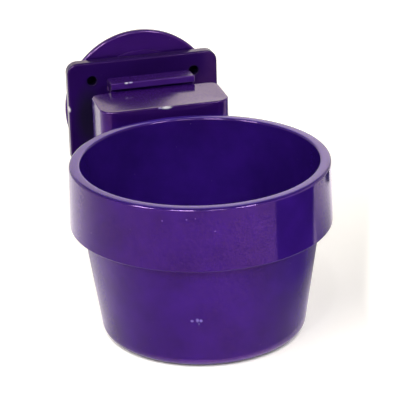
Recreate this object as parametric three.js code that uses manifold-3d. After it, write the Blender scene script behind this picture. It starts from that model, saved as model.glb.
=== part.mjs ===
// Cage feeding bowl: a deep round crock that hangs by the hanger box behind its rim on the
// T-shaped head of a wall bracket. A spring finger on the bracket stands behind the hanger, and a
// bolt with a wing nut draws a round clamp disc up behind the wall plate to grip the cage wires.
// Millimetres, +Z up. The origin is the middle of the bowl's base, and the cage wall is at +Y.

import * as THREE from 'three';
import { mergeVertices } from 'three/addons/utils/BufferGeometryUtils.js';
import Module from 'manifold-3d';

const wasm = await Module();
wasm.setup();

// Clearance between two pieces that seat on or pass through each other
const fit = 0.3;
const roundSegments = 72;
const smallSegments = 32;
const cornerSegments = 6;

// Bowl
const rimRadius = 60;
const rimWidth = 5.2;
const rimEdgeRadius = 1.2;
const bowlHeight = 82.7;
const baseRadius = 47.4;
const baseEdgeRadius = 3;
const floorThickness = 4.5;
const floorEdgeRadius = 6;
const wallThickness = 3.7;
const collarHeight = 29.6;
const collarFlare = 0.7;
const skirtThickness = 2.8;
const skirtGap = 2.9;
const skirtGrooveDepth = 12;
const skirtGrooveTopWidth = 0.8;

// Hanger box moulded on the back of the bowl
const hangerWidth = 64.4;
const hangerDepth = 29.4;
const hangerRise = 3.9;
const hangerGap = 2.9;
const hangerWall = 2.8;
const hangerFrontCorner = 7;
const hangerBackCorner = 5;
const neckWidth = 56;
const neckDrop = 4.2;
const neckWall = 2.8;

// Bracket
const plateWidth = 77.9;
const plateHeight = 54.6;
const plateThickness = 5.7;
const plateSkin = 2.6;
const plateCorner = 5.5;
const plateRibThickness = 2.2;
const plateRibSpacing = 26;
const plateStandoff = 23.3;
const screwHoleDiameter = 4.8;
const screwHoleSideInset = 12.45;
const screwHoleTopInset = 9.5;
const screwBossWall = 3;
const boltBossWall = 5.5;
const headThickness = 4;
const headSideClearance = 5.4;
const headLand = 1.6;
const stemHeight = 28;
const stemWall = 3;
const shoulderOverlap = 4.5;
const shoulderHeight = 8;
const shoulderWall = 2.6;

// Lock finger
const fingerWidth = 42.8;
const fingerThickness = 2.8;
const fingerLegGap = 2.2;
const thumbPadDepth = 11.5;
const thumbPadRise = 4.2;
const thumbPadDrop = 2.4;
const thumbPadWall = 2.6;
const thumbPadEdgeRadius = 1.2;
const thumbLip = 3;
const thumbLipThickness = 2.8;

// Clamp
const discRadius = 39.4;
const discThickness = 3.4;
const discEdgeRadius = 1.5;
const discPadRadius = 29.3;
const discPadThickness = 1;
const discHubRadius = 11;
const discHubHeight = 4.5;
const discRibCount = 8;
const discRibThickness = 2;
const discRibHeight = 3.6;
const discWebThickness = 2;
const discRimWidth = 3.2;
const boltDiameter = 6;
const boltLength = 38;
const boltHeadFlats = 10;
const boltHeadHeight = 4;
const boltEndChamfer = 0.8;
const washerRadius = 9;
const washerThickness = 1.6;
const nutFootRadius = 6.4;
const nutTopRadius = 5;
const nutHeight = 8;
const wingSpan = 30;
const wingRise = 6;
const wingThickness = 2.6;
const wingTipRadius = 3.6;

// Heights that follow from the sizes above
const collarFoot = bowlHeight - collarHeight;
const hangerTop = bowlHeight + hangerRise;
const hangerCeiling = hangerTop - hangerWall;
const headTop = hangerCeiling - fit;
const stemTop = headTop - headLand;
const stemBottom = stemTop - stemHeight;
const boltAxis = stemTop - stemHeight / 2;
const shoulderTop = collarFoot + shoulderOverlap;
const shoulderBottom = shoulderTop - shoulderHeight;
const fingerFoot = shoulderTop + fit;
const thumbPadTop = hangerTop + thumbPadRise;
const thumbPadBottom = hangerTop - thumbPadDrop;
const plateTop = boltAxis + plateHeight / 2;
const plateBottom = boltAxis - plateHeight / 2;

// Places from front to back
const hangerFront = rimRadius + hangerGap;
const hangerBack = hangerFront + hangerDepth;
const headBack = hangerBack - hangerWall - fit;
const headFront = headBack - headThickness;
const shoulderFront = hangerBack + fit;
const plateFront = hangerBack + plateStandoff;
const plateBack = plateFront + plateThickness;
const discFront = plateBack + fit;
const discFlangeFront = discFront + discPadThickness;
const discFlangeBack = discFlangeFront + discThickness;
const discWebBack = discFlangeFront + discWebThickness;
const discHubBack = discFlangeBack + discHubHeight;
const washerFront = discHubBack + fit;
const nutFront = washerFront + washerThickness + fit;
const boltHeadBack = plateFront - fit;

// Widths that follow from what passes through
const boltHoleRadius = boltDiameter / 2 + fit;
const stemCoreWidth = boltHeadFlats + 2 * fit;
const stemWidth = stemCoreWidth + 2 * stemWall;
const headWidth = hangerWidth - 2 * hangerWall - 2 * headSideClearance;
const screwHoleX = plateWidth / 2 - screwHoleSideInset;
const screwHoleZ = plateTop - screwHoleTopInset;

// A cut runs this far past the faces that it opens
const overrun = 2;

// A closed three.js geometry as a solid, with shared corners merged and empty triangles left out
function solid(geometry) {
  geometry.deleteAttribute('normal');
  geometry.deleteAttribute('uv');
  const merged = mergeVertices(geometry);
  const corners = merged.index.array;
  const triangles = [];
  for (let i = 0; i < corners.length; i += 3) {
    const [a, b, c] = [corners[i], corners[i + 1], corners[i + 2]];
    if (a !== b && b !== c && c !== a) {
      triangles.push(a, b, c);
    }
  }
  return new wasm.Manifold(new wasm.Mesh({
    numProp: 3,
    vertProperties: new Float32Array(merged.attributes.position.array),
    triVerts: new Uint32Array(triangles),
  }));
}

function piece(name, body, material) {
  const data = body.getMesh();
  const geometry = new THREE.BufferGeometry();
  geometry.setAttribute('position', new THREE.BufferAttribute(data.vertProperties, 3));
  geometry.setIndex(new THREE.BufferAttribute(data.triVerts, 1));
  geometry.computeVertexNormals();
  const mesh = new THREE.Mesh(geometry, material);
  mesh.name = name;
  return mesh;
}

function block([x0, x1], [y0, y1], [z0, z1]) {
  const geometry = new THREE.BoxGeometry(x1 - x0, y1 - y0, z1 - z0);
  geometry.translate((x0 + x1) / 2, (y0 + y1) / 2, (z0 + z1) / 2);
  return solid(geometry);
}

function extruded(shape, depth) {
  return new THREE.ExtrudeGeometry(shape, { depth, bevelEnabled: false, curveSegments: cornerSegments });
}

// A shape drawn in plan, raised from one height to another
function raised(shape, [z0, z1]) {
  return solid(extruded(shape, z1 - z0).translate(0, 0, z0));
}

// A shape drawn as seen from the front, X across and Z up, running from front to back
function runningBack(shape, [y0, y1]) {
  return solid(extruded(shape, y1 - y0).rotateX(Math.PI / 2).translate(0, y1, 0));
}

// A shape drawn as seen from the side, Y across and Z up, running from left to right
function runningAcross(shape, [x0, x1]) {
  const sideways = new THREE.Matrix4().makeBasis(
    new THREE.Vector3(0, 1, 0),
    new THREE.Vector3(0, 0, 1),
    new THREE.Vector3(1, 0, 0),
  );
  return solid(extruded(shape, x1 - x0).applyMatrix4(sideways).translate(x0, 0, 0));
}

// A profile of radius and height turned about the bowl's upright axis
function turnedUpright(profile) {
  return solid(new THREE.LatheGeometry(profile, roundSegments).rotateX(Math.PI / 2));
}

// A profile of radius and distance back turned about the bolt's axis
function turnedOnBolt(profile, segments = roundSegments) {
  return solid(new THREE.LatheGeometry(profile, segments).translate(0, 0, boltAxis));
}

// A fin drawn as radius and distance back, standing out from the bolt's axis at one angle
function aroundBolt(shape, thickness, angle) {
  const fin = extruded(shape, thickness).translate(0, 0, -thickness / 2);
  return solid(fin.rotateY(angle).translate(0, 0, boltAxis));
}

// A round bar along Y, for bosses and holes
function roundPlug(x, z, radius, [y0, y1]) {
  const geometry = new THREE.CylinderGeometry(radius, radius, y1 - y0, smallSegments);
  return solid(geometry.translate(x, (y0 + y1) / 2, z));
}

// Points on a corner arc of a profile, from one angle to another
function arc(centreX, centreY, radius, fromDegrees, toDegrees, steps) {
  const points = [];
  for (let step = 0; step <= steps; step += 1) {
    const angle = THREE.MathUtils.degToRad(fromDegrees + (toDegrees - fromDegrees) * step / steps);
    const along = new THREE.Vector2(Math.cos(angle), Math.sin(angle));
    points.push(along.multiplyScalar(radius).add(new THREE.Vector2(centreX, centreY)));
  }
  return points;
}

// A rectangle with one corner radius on its lower pair of corners and another on its upper pair
function roundedRectangle([x0, x1], [y0, y1], lowerRadius, upperRadius) {
  const shape = new THREE.Shape();
  shape.moveTo(x0 + lowerRadius, y0);
  shape.lineTo(x1 - lowerRadius, y0);
  shape.absarc(x1 - lowerRadius, y0 + lowerRadius, lowerRadius, -Math.PI / 2, 0);
  shape.lineTo(x1, y1 - upperRadius);
  shape.absarc(x1 - upperRadius, y1 - upperRadius, upperRadius, 0, Math.PI / 2);
  shape.lineTo(x0 + upperRadius, y1);
  shape.absarc(x0 + upperRadius, y1 - upperRadius, upperRadius, Math.PI / 2, Math.PI);
  shape.lineTo(x0, y0 + lowerRadius);
  shape.absarc(x0 + lowerRadius, y0 + lowerRadius, lowerRadius, Math.PI, 1.5 * Math.PI);
  return shape;
}

// The crock: a tapered cup whose rim turns down into a deep collar with a groove open below
function crock() {
  const footRadius = rimRadius + collarFlare;
  const bodyTopRadius = footRadius - skirtThickness - skirtGap;
  const taper = (bodyTopRadius - baseRadius) / collarFoot;
  const outerAt = (height) => baseRadius + taper * height;
  const grooveTop = collarFoot + skirtGrooveDepth;
  const innerRimRadius = rimRadius - rimWidth;
  const innerFloorRadius = outerAt(floorThickness) - wallThickness;
  const innerTaper = (innerRimRadius - innerFloorRadius) / (bowlHeight - floorThickness);
  const innerTop = bowlHeight - rimEdgeRadius;
  const floorEdgeTop = floorThickness + floorEdgeRadius;
  const profile = [
    new THREE.Vector2(0, 0),
    ...arc(outerAt(baseEdgeRadius) - baseEdgeRadius, baseEdgeRadius, baseEdgeRadius, -90, 0, 4),
    new THREE.Vector2(bodyTopRadius, collarFoot),
    new THREE.Vector2(outerAt(grooveTop), grooveTop),
    new THREE.Vector2(outerAt(grooveTop) + skirtGrooveTopWidth, grooveTop),
    new THREE.Vector2(footRadius - skirtThickness, collarFoot),
    new THREE.Vector2(footRadius, collarFoot),
    ...arc(rimRadius - rimEdgeRadius, bowlHeight - rimEdgeRadius, rimEdgeRadius, 0, 90, 3),
    ...arc(innerRimRadius + rimEdgeRadius, innerTop, rimEdgeRadius, 90, 180, 3),
    new THREE.Vector2(innerFloorRadius + innerTaper * floorEdgeRadius, floorEdgeTop),
    ...arc(innerFloorRadius - floorEdgeRadius, floorEdgeTop, floorEdgeRadius, -10, -90, 4),
    new THREE.Vector2(0, floorThickness),
  ];
  return turnedUpright(profile);
}

// The hanger: a box open below that drops over the bracket's head, with a slot for the stem
function hanger() {
  const side = hangerWidth / 2;
  const innerSide = side - hangerWall;
  const outer = roundedRectangle(
    [-side, side],
    [hangerFront, hangerBack],
    hangerFrontCorner,
    hangerBackCorner,
  );
  const inner = roundedRectangle(
    [-innerSide, innerSide],
    [hangerFront + hangerWall, hangerBack - hangerWall],
    hangerFrontCorner - hangerWall,
    hangerBackCorner - hangerWall,
  );
  const slotSide = stemWidth / 2 + fit;
  return raised(outer, [collarFoot, hangerTop])
    .subtract(raised(inner, [collarFoot - overrun, hangerCeiling]))
    .subtract(block(
      [-slotSide, slotSide],
      [hangerBack - hangerWall - overrun, hangerBack + overrun],
      [collarFoot - overrun, stemTop + fit],
    ));
}

// The neck: a hollow bridge below the rim that joins the collar to the hanger's front wall
function neck() {
  const side = neckWidth / 2;
  const top = bowlHeight - neckDrop;
  const joint = hangerFront + hangerWall / 2;
  const collarCore = turnedUpright([
    new THREE.Vector2(0, collarFoot - overrun),
    new THREE.Vector2(rimRadius - skirtThickness / 2, collarFoot - overrun),
    new THREE.Vector2(rimRadius - skirtThickness / 2, bowlHeight),
    new THREE.Vector2(0, bowlHeight),
  ]);
  return block([-side, side], [0, joint], [collarFoot, top])
    .subtract(block(
      [neckWall - side, side - neckWall],
      [-overrun, hangerFront],
      [collarFoot - overrun, top - neckWall],
    ))
    .subtract(collarCore);
}

// The wall plate: a shallow tray with its open side to the cage, stiffened by ribs and bosses
function wallPlate() {
  const side = plateWidth / 2;
  const innerSide = side - plateSkin;
  const tray = [plateFront + plateSkin, plateBack + overrun];
  const web = [plateFront, plateBack];
  const ribHalf = plateRibThickness / 2;
  const ribHeights = [plateBottom + plateSkin / 2, plateTop - plateSkin / 2];
  const outer = roundedRectangle([-side, side], [plateBottom, plateTop], plateCorner, plateCorner);
  const inner = roundedRectangle(
    [-innerSide, innerSide],
    [plateBottom + plateSkin, plateTop - plateSkin],
    plateCorner - plateSkin,
    plateCorner - plateSkin,
  );
  let plate = runningBack(outer, web)
    .subtract(runningBack(inner, tray))
    .add(block([plateSkin / 2 - side, side - plateSkin / 2], web, [boltAxis - ribHalf, boltAxis + ribHalf]))
    .add(roundPlug(0, boltAxis, boltHoleRadius + boltBossWall, web));
  for (const x of [-plateRibSpacing / 2, plateRibSpacing / 2]) {
    plate = plate.add(block([x - ribHalf, x + ribHalf], web, ribHeights));
  }
  for (const x of [-screwHoleX, screwHoleX]) {
    plate = plate.add(roundPlug(x, screwHoleZ, screwHoleDiameter / 2 + screwBossWall, web));
  }
  return plate;
}

// The arm: a hollow stem that passes through the hanger's slot and carries the T-shaped head
function arm() {
  const headSide = headWidth / 2;
  const stemSide = stemWidth / 2;
  const shoulderSide = fingerWidth / 2;
  const reach = plateFront + plateSkin / 2;
  const shoulderHollow = [shoulderFront + shoulderWall, plateFront];
  return block([-headSide, headSide], [headFront, headBack], [stemBottom, headTop])
    .add(block([-stemSide, stemSide], [headFront, reach], [stemBottom, stemTop]))
    .add(block([-shoulderSide, shoulderSide], [shoulderFront, reach], [shoulderBottom, shoulderTop])
      .subtract(block(
        [shoulderWall - shoulderSide, shoulderSide - shoulderWall],
        shoulderHollow,
        [shoulderBottom - overrun, shoulderTop - shoulderWall],
      )));
}

function bracket() {
  const through = [headFront - overrun, plateBack + overrun];
  const coreHalf = stemCoreWidth / 2;
  let body = wallPlate()
    .add(arm())
    .subtract(block(
      [-coreHalf, coreHalf],
      [headFront - overrun, plateFront],
      [stemBottom + stemWall, stemTop - stemWall],
    ))
    .subtract(roundPlug(0, boltAxis, boltHoleRadius, through));
  for (const x of [-screwHoleX, screwHoleX]) {
    body = body.subtract(roundPlug(x, screwHoleZ, screwHoleDiameter / 2, through));
  }
  return body;
}

// The lock finger: two spring legs astride the stem under a folded-over thumb pad with a front lip
function lockFinger() {
  const front = shoulderFront;
  const back = front + thumbPadDepth;
  const legFront = front + thumbLip;
  const legBack = legFront + fingerThickness;
  const edge = thumbPadEdgeRadius;
  const outline = new THREE.Shape();
  outline.moveTo(legFront, fingerFoot);
  outline.lineTo(legBack, fingerFoot);
  outline.lineTo(legBack, thumbPadTop - thumbPadWall);
  outline.lineTo(back - thumbPadWall, thumbPadTop - thumbPadWall);
  outline.lineTo(back - thumbPadWall, thumbPadBottom);
  outline.lineTo(back, thumbPadBottom);
  outline.lineTo(back, thumbPadTop - edge);
  outline.absarc(back - edge, thumbPadTop - edge, edge, 0, Math.PI / 2);
  outline.lineTo(front + edge, thumbPadTop);
  outline.absarc(front + edge, thumbPadTop - edge, edge, Math.PI / 2, Math.PI);
  outline.lineTo(front, thumbPadTop - thumbLipThickness);
  outline.lineTo(legFront, thumbPadTop - thumbLipThickness);
  outline.lineTo(legFront, fingerFoot);
  const window = stemWidth / 2 + fingerLegGap;
  return runningAcross(outline, [-fingerWidth / 2, fingerWidth / 2])
    .subtract(block(
      [-window, window],
      [legFront - overrun, legBack + overrun],
      [fingerFoot - overrun, thumbPadBottom],
    ));
}

// The clamp disc: a flanged plastic washer with a hub and radial ribs on its outer side
function clampDisc() {
  const edge = discEdgeRadius;
  const rimInner = discRadius - discRimWidth;
  const disc = turnedOnBolt([
    new THREE.Vector2(boltHoleRadius, discFront),
    new THREE.Vector2(discPadRadius, discFront),
    new THREE.Vector2(discPadRadius, discFlangeFront),
    ...arc(discRadius - edge, discFlangeFront + edge, edge, -90, 0, 3),
    ...arc(discRadius - edge, discFlangeBack - edge, edge, 0, 90, 3),
    new THREE.Vector2(rimInner, discFlangeBack),
    new THREE.Vector2(rimInner, discWebBack),
    new THREE.Vector2(discHubRadius, discWebBack),
    new THREE.Vector2(discHubRadius, discHubBack),
    new THREE.Vector2(boltHoleRadius, discHubBack),
    new THREE.Vector2(boltHoleRadius, discFront),
  ]);
  const ribInner = boltHoleRadius + discRibThickness;
  const ribOuter = rimInner + discRimWidth / 3;
  const ribFoot = discWebBack - discWebThickness / 2;
  const outline = new THREE.Shape();
  outline.moveTo(ribInner, ribFoot);
  outline.lineTo(ribOuter, ribFoot);
  outline.lineTo(ribOuter, discFlangeBack);
  outline.lineTo(rimInner, discFlangeBack);
  outline.lineTo(discHubRadius, discWebBack + discRibHeight);
  outline.lineTo(ribInner, discWebBack + discRibHeight);
  let body = disc;
  for (let rib = 0; rib < discRibCount; rib += 1) {
    body = body.add(aroundBolt(outline, discRibThickness, 2 * Math.PI * (rib + 0.5) / discRibCount));
  }
  return body;
}

// The bolt: a hex head held between the stem's walls and a shank that runs out through the disc
function hexBolt() {
  const radius = boltDiameter / 2;
  const end = boltHeadBack + boltLength;
  const hexRadius = boltHeadFlats / Math.sqrt(3);
  const hex = new THREE.Shape();
  for (let corner = 0; corner < 6; corner += 1) {
    const angle = Math.PI / 2 + corner * Math.PI / 3;
    const [x, z] = [hexRadius * Math.cos(angle), boltAxis + hexRadius * Math.sin(angle)];
    if (corner === 0) {
      hex.moveTo(x, z);
    } else {
      hex.lineTo(x, z);
    }
  }
  const shank = turnedOnBolt([
    new THREE.Vector2(0, boltHeadBack - boltHeadHeight / 2),
    new THREE.Vector2(radius, boltHeadBack - boltHeadHeight / 2),
    new THREE.Vector2(radius, end - boltEndChamfer),
    new THREE.Vector2(radius - boltEndChamfer, end),
    new THREE.Vector2(0, end),
  ], smallSegments);
  return runningBack(hex, [boltHeadBack - boltHeadHeight, boltHeadBack]).add(shank);
}

function flatWasher() {
  const back = washerFront + washerThickness;
  return turnedOnBolt([
    new THREE.Vector2(boltHoleRadius, washerFront),
    new THREE.Vector2(washerRadius, washerFront),
    new THREE.Vector2(washerRadius, back),
    new THREE.Vector2(boltHoleRadius, back),
    new THREE.Vector2(boltHoleRadius, washerFront),
  ], smallSegments);
}

// The wing nut: a tapered hub with two upswept wings to turn by hand
function wingNut() {
  const back = nutFront + nutHeight;
  const tip = wingSpan / 2 - wingTipRadius;
  const crest = back + wingRise - wingTipRadius;
  const hub = turnedOnBolt([
    new THREE.Vector2(boltHoleRadius, nutFront),
    new THREE.Vector2(nutFootRadius, nutFront),
    new THREE.Vector2(nutTopRadius, back),
    new THREE.Vector2(boltHoleRadius, back),
    new THREE.Vector2(boltHoleRadius, nutFront),
  ], smallSegments);
  const outline = new THREE.Shape();
  const root = boltHoleRadius + wingThickness / 2;
  outline.moveTo(root, nutFront + wingThickness / 2);
  outline.lineTo(nutFootRadius, nutFront + wingThickness / 2);
  outline.lineTo(tip + wingTipRadius, crest);
  outline.absarc(tip, crest, wingTipRadius, 0, 0.75 * Math.PI);
  outline.lineTo(root, back - wingThickness / 2);
  let body = hub;
  for (const turn of [0, Math.PI]) {
    body = body.add(aroundBolt(outline, wingThickness, turn));
  }
  return body;
}

const purplePlastic = new THREE.MeshStandardMaterial({ color: 0x4b2a86, roughness: 0.28, metalness: 0 });
const darkPurplePlastic = new THREE.MeshStandardMaterial({ color: 0x341a63, roughness: 0.25, metalness: 0 });
const zincSteel = new THREE.MeshStandardMaterial({ color: 0xb9bcc0, roughness: 0.35, metalness: 1 });

const feedingBowl = new THREE.Group();
feedingBowl.add(
  piece('bowl', crock().add(neck()).add(hanger()), purplePlastic),
  piece('bracket', bracket(), darkPurplePlastic),
  piece('lock_finger', lockFinger(), darkPurplePlastic),
  piece('clamp_disc', clampDisc(), darkPurplePlastic),
  piece('hex_bolt', hexBolt(), zincSteel),
  piece('flat_washer', flatWasher(), zincSteel),
  piece('wing_nut', wingNut(), zincSteel),
);

export default feedingBowl;
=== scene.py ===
"""Cage feeding bowl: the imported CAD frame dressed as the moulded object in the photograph.

Metres, in the CAD's own frame: +Z is up the bowl's axis and the cage wall is at +Y.
"""
import math

import bpy
from mathutils import Matrix, Vector


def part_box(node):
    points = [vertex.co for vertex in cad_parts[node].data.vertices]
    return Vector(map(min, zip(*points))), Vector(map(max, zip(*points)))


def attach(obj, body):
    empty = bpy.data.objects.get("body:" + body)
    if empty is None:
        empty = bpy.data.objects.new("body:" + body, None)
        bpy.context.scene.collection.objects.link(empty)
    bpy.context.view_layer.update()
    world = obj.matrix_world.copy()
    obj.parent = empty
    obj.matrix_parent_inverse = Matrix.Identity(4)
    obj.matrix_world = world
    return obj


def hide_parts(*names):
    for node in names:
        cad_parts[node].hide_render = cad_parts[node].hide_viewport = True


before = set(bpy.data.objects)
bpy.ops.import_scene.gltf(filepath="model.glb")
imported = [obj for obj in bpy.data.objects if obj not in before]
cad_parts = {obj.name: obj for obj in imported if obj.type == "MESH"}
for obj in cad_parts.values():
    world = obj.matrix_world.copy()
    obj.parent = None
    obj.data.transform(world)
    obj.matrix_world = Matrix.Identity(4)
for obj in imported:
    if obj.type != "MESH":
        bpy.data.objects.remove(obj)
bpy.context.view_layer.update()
mm = 0.001

# The bowl: a deep feed crock whose rim turns down into a collar, with a box behind it that hangs
# on the bracket. It is one injection moulding in glossy purple polypropylene, and every hollow
# opens downwards so that it can leave the mould.
bowl_low, bowl_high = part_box("bowl")
collar_foot_radius = -bowl_low.y
rim_radius = collar_foot_radius - 0.7 * mm
rim_height = bowl_high.z - 3.9 * mm
rim_width = 5.2 * mm
rim_edge = 1.2 * mm
rim_inner_edge = 0.9 * mm
lip_lean = 4
collar_foot = rim_height - 29.6 * mm
collar_edge = 0.7 * mm
skirt_thickness = 2.8 * mm
body_top_radius = collar_foot_radius - skirt_thickness - 2.9 * mm
groove_top = collar_foot + 12 * mm
groove_width = 0.8 * mm
base_radius = 47.4 * mm
base_edge = 5 * mm
floor_thickness = 4.5 * mm
floor_edge = 6 * mm
wall_thickness = 3.7 * mm
hanger_side = 32.2 * mm
hanger_top = bowl_high.z
hanger_back = bowl_high.y
hanger_front = hanger_back - 29.4 * mm
hanger_wall = 2.8 * mm
hanger_front_corner = 7 * mm
hanger_back_corner = 5 * mm
hanger_edge = 0.7 * mm
hanger_foot_edge = 0.4 * mm
hanger_sink = 0.12 * mm
hanger_sink_reach = 11 * mm
stem_slot_side = 8.6 * mm
stem_slot_top = hanger_top - 4.4 * mm
neck_side = 28 * mm
neck_top = rim_height - 4.2 * mm
neck_start = 30 * mm
neck_hollow_start = 20 * mm
neck_wall = 2.8 * mm
neck_edge = 0.8 * mm
neck_foot_edge = 0.3 * mm
hollow_edge = 0.6 * mm
overrun = 2 * mm
bowl_steps = 216


def linear(code):
    """An sRGB hex colour as the linear colour that the shaders work in."""
    parts = [int(code[place:place + 2], 16) / 255 for place in (1, 3, 5)]
    return [*(c / 12.92 if c <= 0.04045 else ((c + 0.055) / 1.055) ** 2.4 for c in parts), 1.0]


def node(tree, kind, inputs=None, **settings):
    """Adds a node, applies its settings, and fills or links its inputs by name or number."""
    made = tree.nodes.new(kind)
    for key, value in settings.items():
        setattr(made, key, value)
    for key, value in (inputs or {}).items():
        if isinstance(value, bpy.types.NodeSocket):
            tree.links.new(value, made.inputs[key])
        else:
            made.inputs[key].default_value = value
    return made


def new_finish(name):
    """A new material with its emptied node tree."""
    material = bpy.data.materials.new(name)
    material.use_nodes = True
    material.node_tree.nodes.clear()
    return material, material.node_tree


def moulded_polypropylene(name, colour, deep_colour, seed, gloss, shine, crevice, hazed_from, marks):
    """Injection-moulded polypropylene, coloured all through: a glossy skin with a slow drift of tone.
    Handling has made its gloss uneven, fine scuffs break up its shine, dust and scratches haze what
    lies above one height, and painted shade darkens its crevices and takes their gloss away. Each
    mark is a spot of wear, painted shade or painted highlight, given by its middle and reach in
    millimetres, its colour and its raggedness."""
    material, tree = new_finish(name)
    place = node(tree, "ShaderNodeTexCoord").outputs["Object"]
    # Each pattern by its seed, size in millimetres, detail and roughness. The dust, scratches and grit
    # are coarser than real ones, so that they show in the render.
    flow, dust, scratches, grit, smear, ripple = [
        node(tree, "ShaderNodeTexNoise", {"Vector": place, "W": seed + shift, "Scale": 1 / (size * mm),
             "Detail": detail, "Roughness": roughness}, noise_dimensions="4D").outputs[0]
        for shift, size, detail, roughness in (
            (0, 24, 3.0, 0.6), (3, 1.1, 1.0, 0.5), (5, 1.4, 5.0, 0.7),
            (13, 0.6, 1.0, 0.5), (7, 9, 4.0, 0.5), (11, 2.6, 2.0, 0.5))]
    flow_share = node(tree, "ShaderNodeMapRange", {"Value": flow, "From Min": 0.35, "From Max": 0.65})
    tone = node(tree, "ShaderNodeMix", {0: flow_share.outputs[0], 6: linear(deep_colour),
                7: linear(colour)}, data_type="RGBA").outputs[2]
    dust_share = node(tree, "ShaderNodeMapRange", {"Value": dust, "From Min": 0.79, "From Max": 0.86,
                      "To Max": 0.5})
    height = node(tree, "ShaderNodeSeparateXYZ", {0: place}).outputs["Z"]
    topmost = node(tree, "ShaderNodeMapRange", {"Value": height, "From Min": hazed_from,
                   "From Max": hazed_from + 0.2 * mm})
    haze = node(tree, "ShaderNodeMath", {0: topmost.outputs[0], 1: scratches}, operation="MULTIPLY")
    haze_share = node(tree, "ShaderNodeMapRange", {"Value": haze.outputs[0], "From Min": 0.3,
                      "From Max": 0.75, "To Max": 0.03})
    layers = [(dust_share, "#A99BC0"), (haze_share, "#9C9099")]
    for middle, reach, mark_colour, raggedness in marks:
        spread = node(tree, "ShaderNodeVectorMath", {0: place, 1: [1 / (r * mm) for r in reach],
                      2: [-m / r for m, r in zip(middle, reach)]}, operation="MULTIPLY_ADD")
        away = node(tree, "ShaderNodeVectorMath", {0: spread.outputs[0]}, operation="LENGTH")
        ragged = node(tree, "ShaderNodeMath", {0: scratches, 1: -raggedness, 2: away.outputs["Value"]},
                      operation="MULTIPLY_ADD")
        mark_share = node(tree, "ShaderNodeMapRange", {"Value": ragged.outputs[0],
                          "From Min": 1 - 0.5 * raggedness, "From Max": 0.4 - 0.5 * raggedness})
        layers.append((mark_share, mark_colour))
    for share, layer_colour in layers:
        tone = node(tree, "ShaderNodeMix", {0: share.outputs[0], 6: tone, 7: linear(layer_colour)},
                    data_type="RGBA").outputs[2]
    # Painted shade: within the crevice distance of other surfaces the tone turns dark and the gloss fades
    closeness = node(tree, "ShaderNodeAmbientOcclusion", {"Distance": crevice}, samples=6)
    openness = node(tree, "ShaderNodeMapRange", {"Value": closeness.outputs["AO"], "From Min": 0.1,
                    "From Max": 0.5})
    tone = node(tree, "ShaderNodeMix", {0: openness.outputs[0], 6: linear("#0C0A16"), 7: tone},
                data_type="RGBA").outputs[2]
    scuffed = node(tree, "ShaderNodeMapRange", {"Value": grit, "From Min": 0.35, "From Max": 0.65,
                   "To Min": 0.35 * shine, "To Max": 1.55 * shine})
    glossy = node(tree, "ShaderNodeMath", {0: openness.outputs[0], 1: scuffed.outputs[0]},
                  operation="MULTIPLY")
    rubbed = node(tree, "ShaderNodeMapRange", {"Value": smear, "From Min": 0.3, "From Max": 0.7,
                  "To Min": gloss[0], "To Max": gloss[1]})
    dulled = node(tree, "ShaderNodeMath", {0: haze.outputs[0], 1: 0.06, 2: rubbed.outputs[0]},
                  operation="MULTIPLY_ADD")
    relief = node(tree, "ShaderNodeBump", {"Height": ripple, "Strength": 0.07, "Distance": 0.06 * mm})
    surface = node(tree, "ShaderNodeBsdfPrincipled", {
        "Base Color": tone, "Roughness": dulled.outputs[0], "IOR": 1.49,
        "Specular IOR Level": glossy.outputs[0], "Specular Tint": linear("#F39CFF"),
        "Normal": relief.outputs[0]})
    node(tree, "ShaderNodeOutputMaterial", {"Surface": surface.outputs[0]})
    return material


def arc(centre, radius, start, end, steps):
    """Points on a rounded corner of a drawn outline, from one angle in degrees to another."""
    angles = [math.radians(start + (end - start) * step / steps) for step in range(steps + 1)]
    return [(centre[0] + radius * math.cos(a), centre[1] + radius * math.sin(a)) for a in angles]


def settled(piece):
    """Turns a piece and its modifiers into a plain mesh."""
    old = piece.data
    depsgraph = bpy.context.evaluated_depsgraph_get()
    mesh = bpy.data.meshes.new_from_object(piece.evaluated_get(depsgraph))
    piece.modifiers.clear()
    piece.data = mesh
    mesh.name = piece.name
    bpy.data.meshes.remove(old)
    return piece


def placed(name, data):
    """An object for a mesh, a lamp or a lens, put into the scene."""
    piece = bpy.data.objects.new(name, data)
    bpy.context.scene.collection.objects.link(piece)
    return piece


def grown(piece, tree, sizes):
    """Runs a Geometry Nodes tree on a drawn piece, with the tree's named inputs set."""
    modifier = piece.modifiers.new("Grown", "NODES")
    modifier.node_group = tree
    for socket in tree.interface.items_tree:
        if socket.in_out == "INPUT" and socket.name in sizes:
            modifier[socket.identifier] = sizes[socket.name]
    return settled(piece)


def growing(name, sizes):
    """A new Geometry Nodes tree, and the node that hands out its named inputs."""
    tree = bpy.data.node_groups.new(name, "GeometryNodeTree")
    for label, kind in sizes.items():
        tree.interface.new_socket(label, in_out="INPUT", socket_type="NodeSocket" + kind)
    tree.interface.new_socket("Piece", in_out="OUTPUT", socket_type="NodeSocketGeometry")
    return tree, node(tree, "NodeGroupInput")


def ended(tree, geometry, finish):
    """Ends a tree in real meshes with their finish, because the export drops instances."""
    whole = node(tree, "GeometryNodeRealizeInstances", {"Geometry": geometry})
    coloured = node(tree, "GeometryNodeSetMaterial", {"Geometry": whole.outputs[0], "Material": finish})
    node(tree, "NodeGroupOutput", {"Piece": coloured.outputs[0]})


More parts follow.
